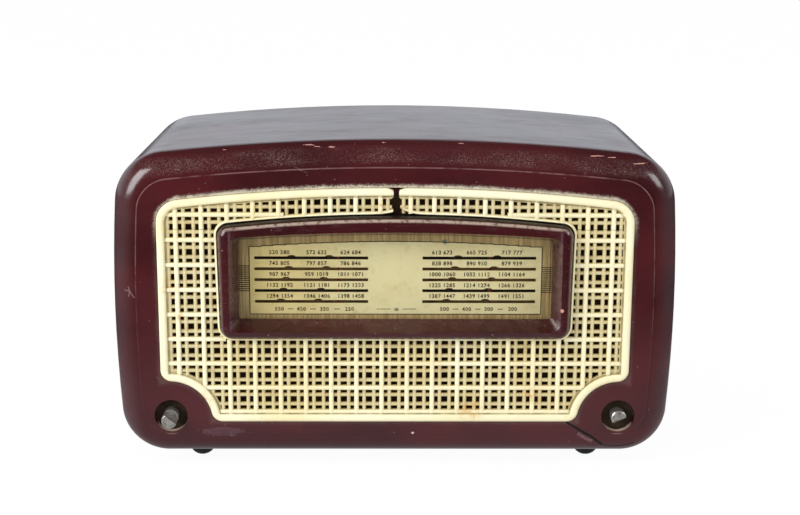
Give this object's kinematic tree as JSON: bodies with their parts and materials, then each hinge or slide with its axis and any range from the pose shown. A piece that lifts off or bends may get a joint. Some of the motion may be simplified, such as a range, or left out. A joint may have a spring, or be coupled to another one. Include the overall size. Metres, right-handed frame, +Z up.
{
  "type": "table radio",
  "caption": "Small table radio with a maroon moulded cabinet, cream lattice grille, glass dial in a raised frame and two bare control shafts.",
  "frame": {"origin": "on the table under the middle of the radio, at the centre of its bounding box", "axes": "+X to the right seen from the front, +Y from the front to the back, +Z up"},
  "size_m": [0.2222, 0.117, 0.1329],
  "materials": {
    "bakelite": "maroon phenolic moulding, worn semi-gloss, dusty",
    "cream_plastic": "yellowed cream urea moulding, soft gloss",
    "bezel_plastic": "maroon moulding, polished with scuffs",
    "dial_glass": "clear flat glass",
    "scale_sheet": "cream enamel with dark slots and plain numbers",
    "speaker_cloth": "dark brown woven cloth",
    "hardboard": "brown pressed board",
    "spring_steel": "blued spring steel",
    "zinc_steel": "dull zinc plate",
    "chassis_steel": "cadmium-plated sheet",
    "bright_steel": "bright steel",
    "shaft_metal": "turned steel, tarnished",
    "core_steel": "varnished laminations",
    "dark_paint": "flat black paint",
    "aluminium": "drawn aluminium",
    "brass": "dull brass",
    "lamp_glass": "small bulb glass",
    "valve_glass": "smoked valve glass",
    "black_plastic": "black phenolic",
    "paxolin": "brown laminate",
    "winding_paper": "waxed paper wrap",
    "cone_paper": "dark grey-brown paper",
    "cord": "waxed drive cord",
    "red_pointer": "red enamel",
    "rubber": "black rubber"
  },
  "bodies": {
    "radio_body": {"cabinet": "bakelite", "grille": "cream_plastic", "grille_nuts": "spring_steel", "speaker_cloth": "speaker_cloth", "cloth_board": "hardboard", "board_screws": "zinc_steel", "dial_bezel": "bezel_plastic", "dial_glass": "dial_glass", "dial_scale": "scale_sheet", "dial_clips": "spring_steel", "dial_screws": "zinc_steel", "front_panel": "chassis_steel", "panel_screws": "zinc_steel", "dial_backplate": "dark_paint", "backplate_spacers": "brass", "dial_lamps": "lamp_glass", "lamp_holders": "brass", "pointer_rail": "bright_steel", "dial_cord": "cord", "pulley_pins": "bright_steel", "gang_frame": "bright_steel", "gang_stator": "aluminium", "volume_body": "bright_steel", "mains_switch": "black_plastic", "control_nuts": "brass", "tuning_bushing": "brass", "chassis": "chassis_steel", "chassis_screws": "zinc_steel", "valve_sockets": "black_plastic", "transformer_core": "core_steel", "transformer_winding": "winding_paper", "output_transformer": "core_steel", "smoothing_capacitor": "aluminium", "speaker_frame": "dark_paint", "speaker_magnet": "core_steel", "back_cover": "hardboard", "back_cover_screws": "zinc_steel", "aerial_socket": "paxolin", "selector_housing": "black_plastic", "mains_grommet": "rubber", "feet": "rubber", "foot_screws": "zinc_steel", "valve_mixer": "valve_glass", "valve_intermediate": "valve_glass", "valve_detector": "valve_glass", "valve_output": "valve_glass", "valve_rectifier": "valve_glass", "if_can_first": "aluminium", "if_can_second": "aluminium"},
    "volume_control": {"volume_shaft": "shaft_metal", "volume_wiper": "paxolin"},
    "tuning_control": {"tuning_shaft": "shaft_metal"},
    "tuning_gang": {"gang_rotor": "aluminium", "cord_drum": "brass"},
    "dial_carriage": {"pointer_carriage": "spring_steel", "pointers": "red_pointer"},
    "pulley_left": {"cord_pulley_left": "brass"},
    "pulley_right": {"cord_pulley_right": "brass"},
    "cone": {"speaker_cone": "cone_paper"},
    "selector": {"voltage_selector": "black_plastic"}
  },
  "joints": [
    {"name": "volume_turn", "type": "hinge", "parent": "radio_body", "child": "volume_control", "pos_m": [-0.0889, -0.0515, 0.023], "axis": [0, 1, 0], "range_deg": [0, 285]},
    {"name": "gang_turn", "type": "hinge", "parent": "radio_body", "child": "tuning_gang", "pos_m": [-0.074, -0.0407, 0.056], "axis": [0, 1, 0], "range_deg": [-130.5, 49.5]},
    {"name": "tuning_turn", "type": "hinge", "parent": "radio_body", "child": "tuning_control", "pos_m": [0.0889, -0.0515, 0.023], "axis": [0, 1, 0], "range_deg": [-559, 214]},
    {"name": "pointer_slide", "type": "slide", "parent": "radio_body", "child": "dial_carriage", "axis": [1, 0, 0], "range_m": [-0.0332, 0.0127]},
    {"name": "left_pulley_turn", "type": "hinge", "parent": "radio_body", "child": "pulley_left", "pos_m": [-0.07, -0.0407, 0.104], "axis": [0, 1, 0], "range_deg": [-433, 166]},
    {"name": "right_pulley_turn", "type": "hinge", "parent": "radio_body", "child": "pulley_right", "pos_m": [0.076, -0.0407, 0.104], "axis": [0, 1, 0], "range_deg": [-433, 166]},
    {"name": "cone_travel", "type": "slide", "parent": "radio_body", "child": "cone", "axis": [0, 1, 0], "range_m": [-0.0005, 0.0005], "stiffness_N_per_m": 1500},
    {"name": "selector_turn", "type": "hinge", "parent": "radio_body", "child": "selector", "pos_m": [0.04, 0.0548, 0.026], "axis": [0, 1, 0], "range_deg": [0, 270]}
  ],
  "couplings": [
    {"joint": "tuning_turn", "follows": "gang_turn", "ratio": 4.2647},
    {"joint": "pointer_slide", "follows": "gang_turn", "m_per_rad": 0.0145},
    {"joint": "left_pulley_turn", "follows": "gang_turn", "ratio": 3.2955},
    {"joint": "right_pulley_turn", "follows": "gang_turn", "ratio": 3.2955}
  ]
}
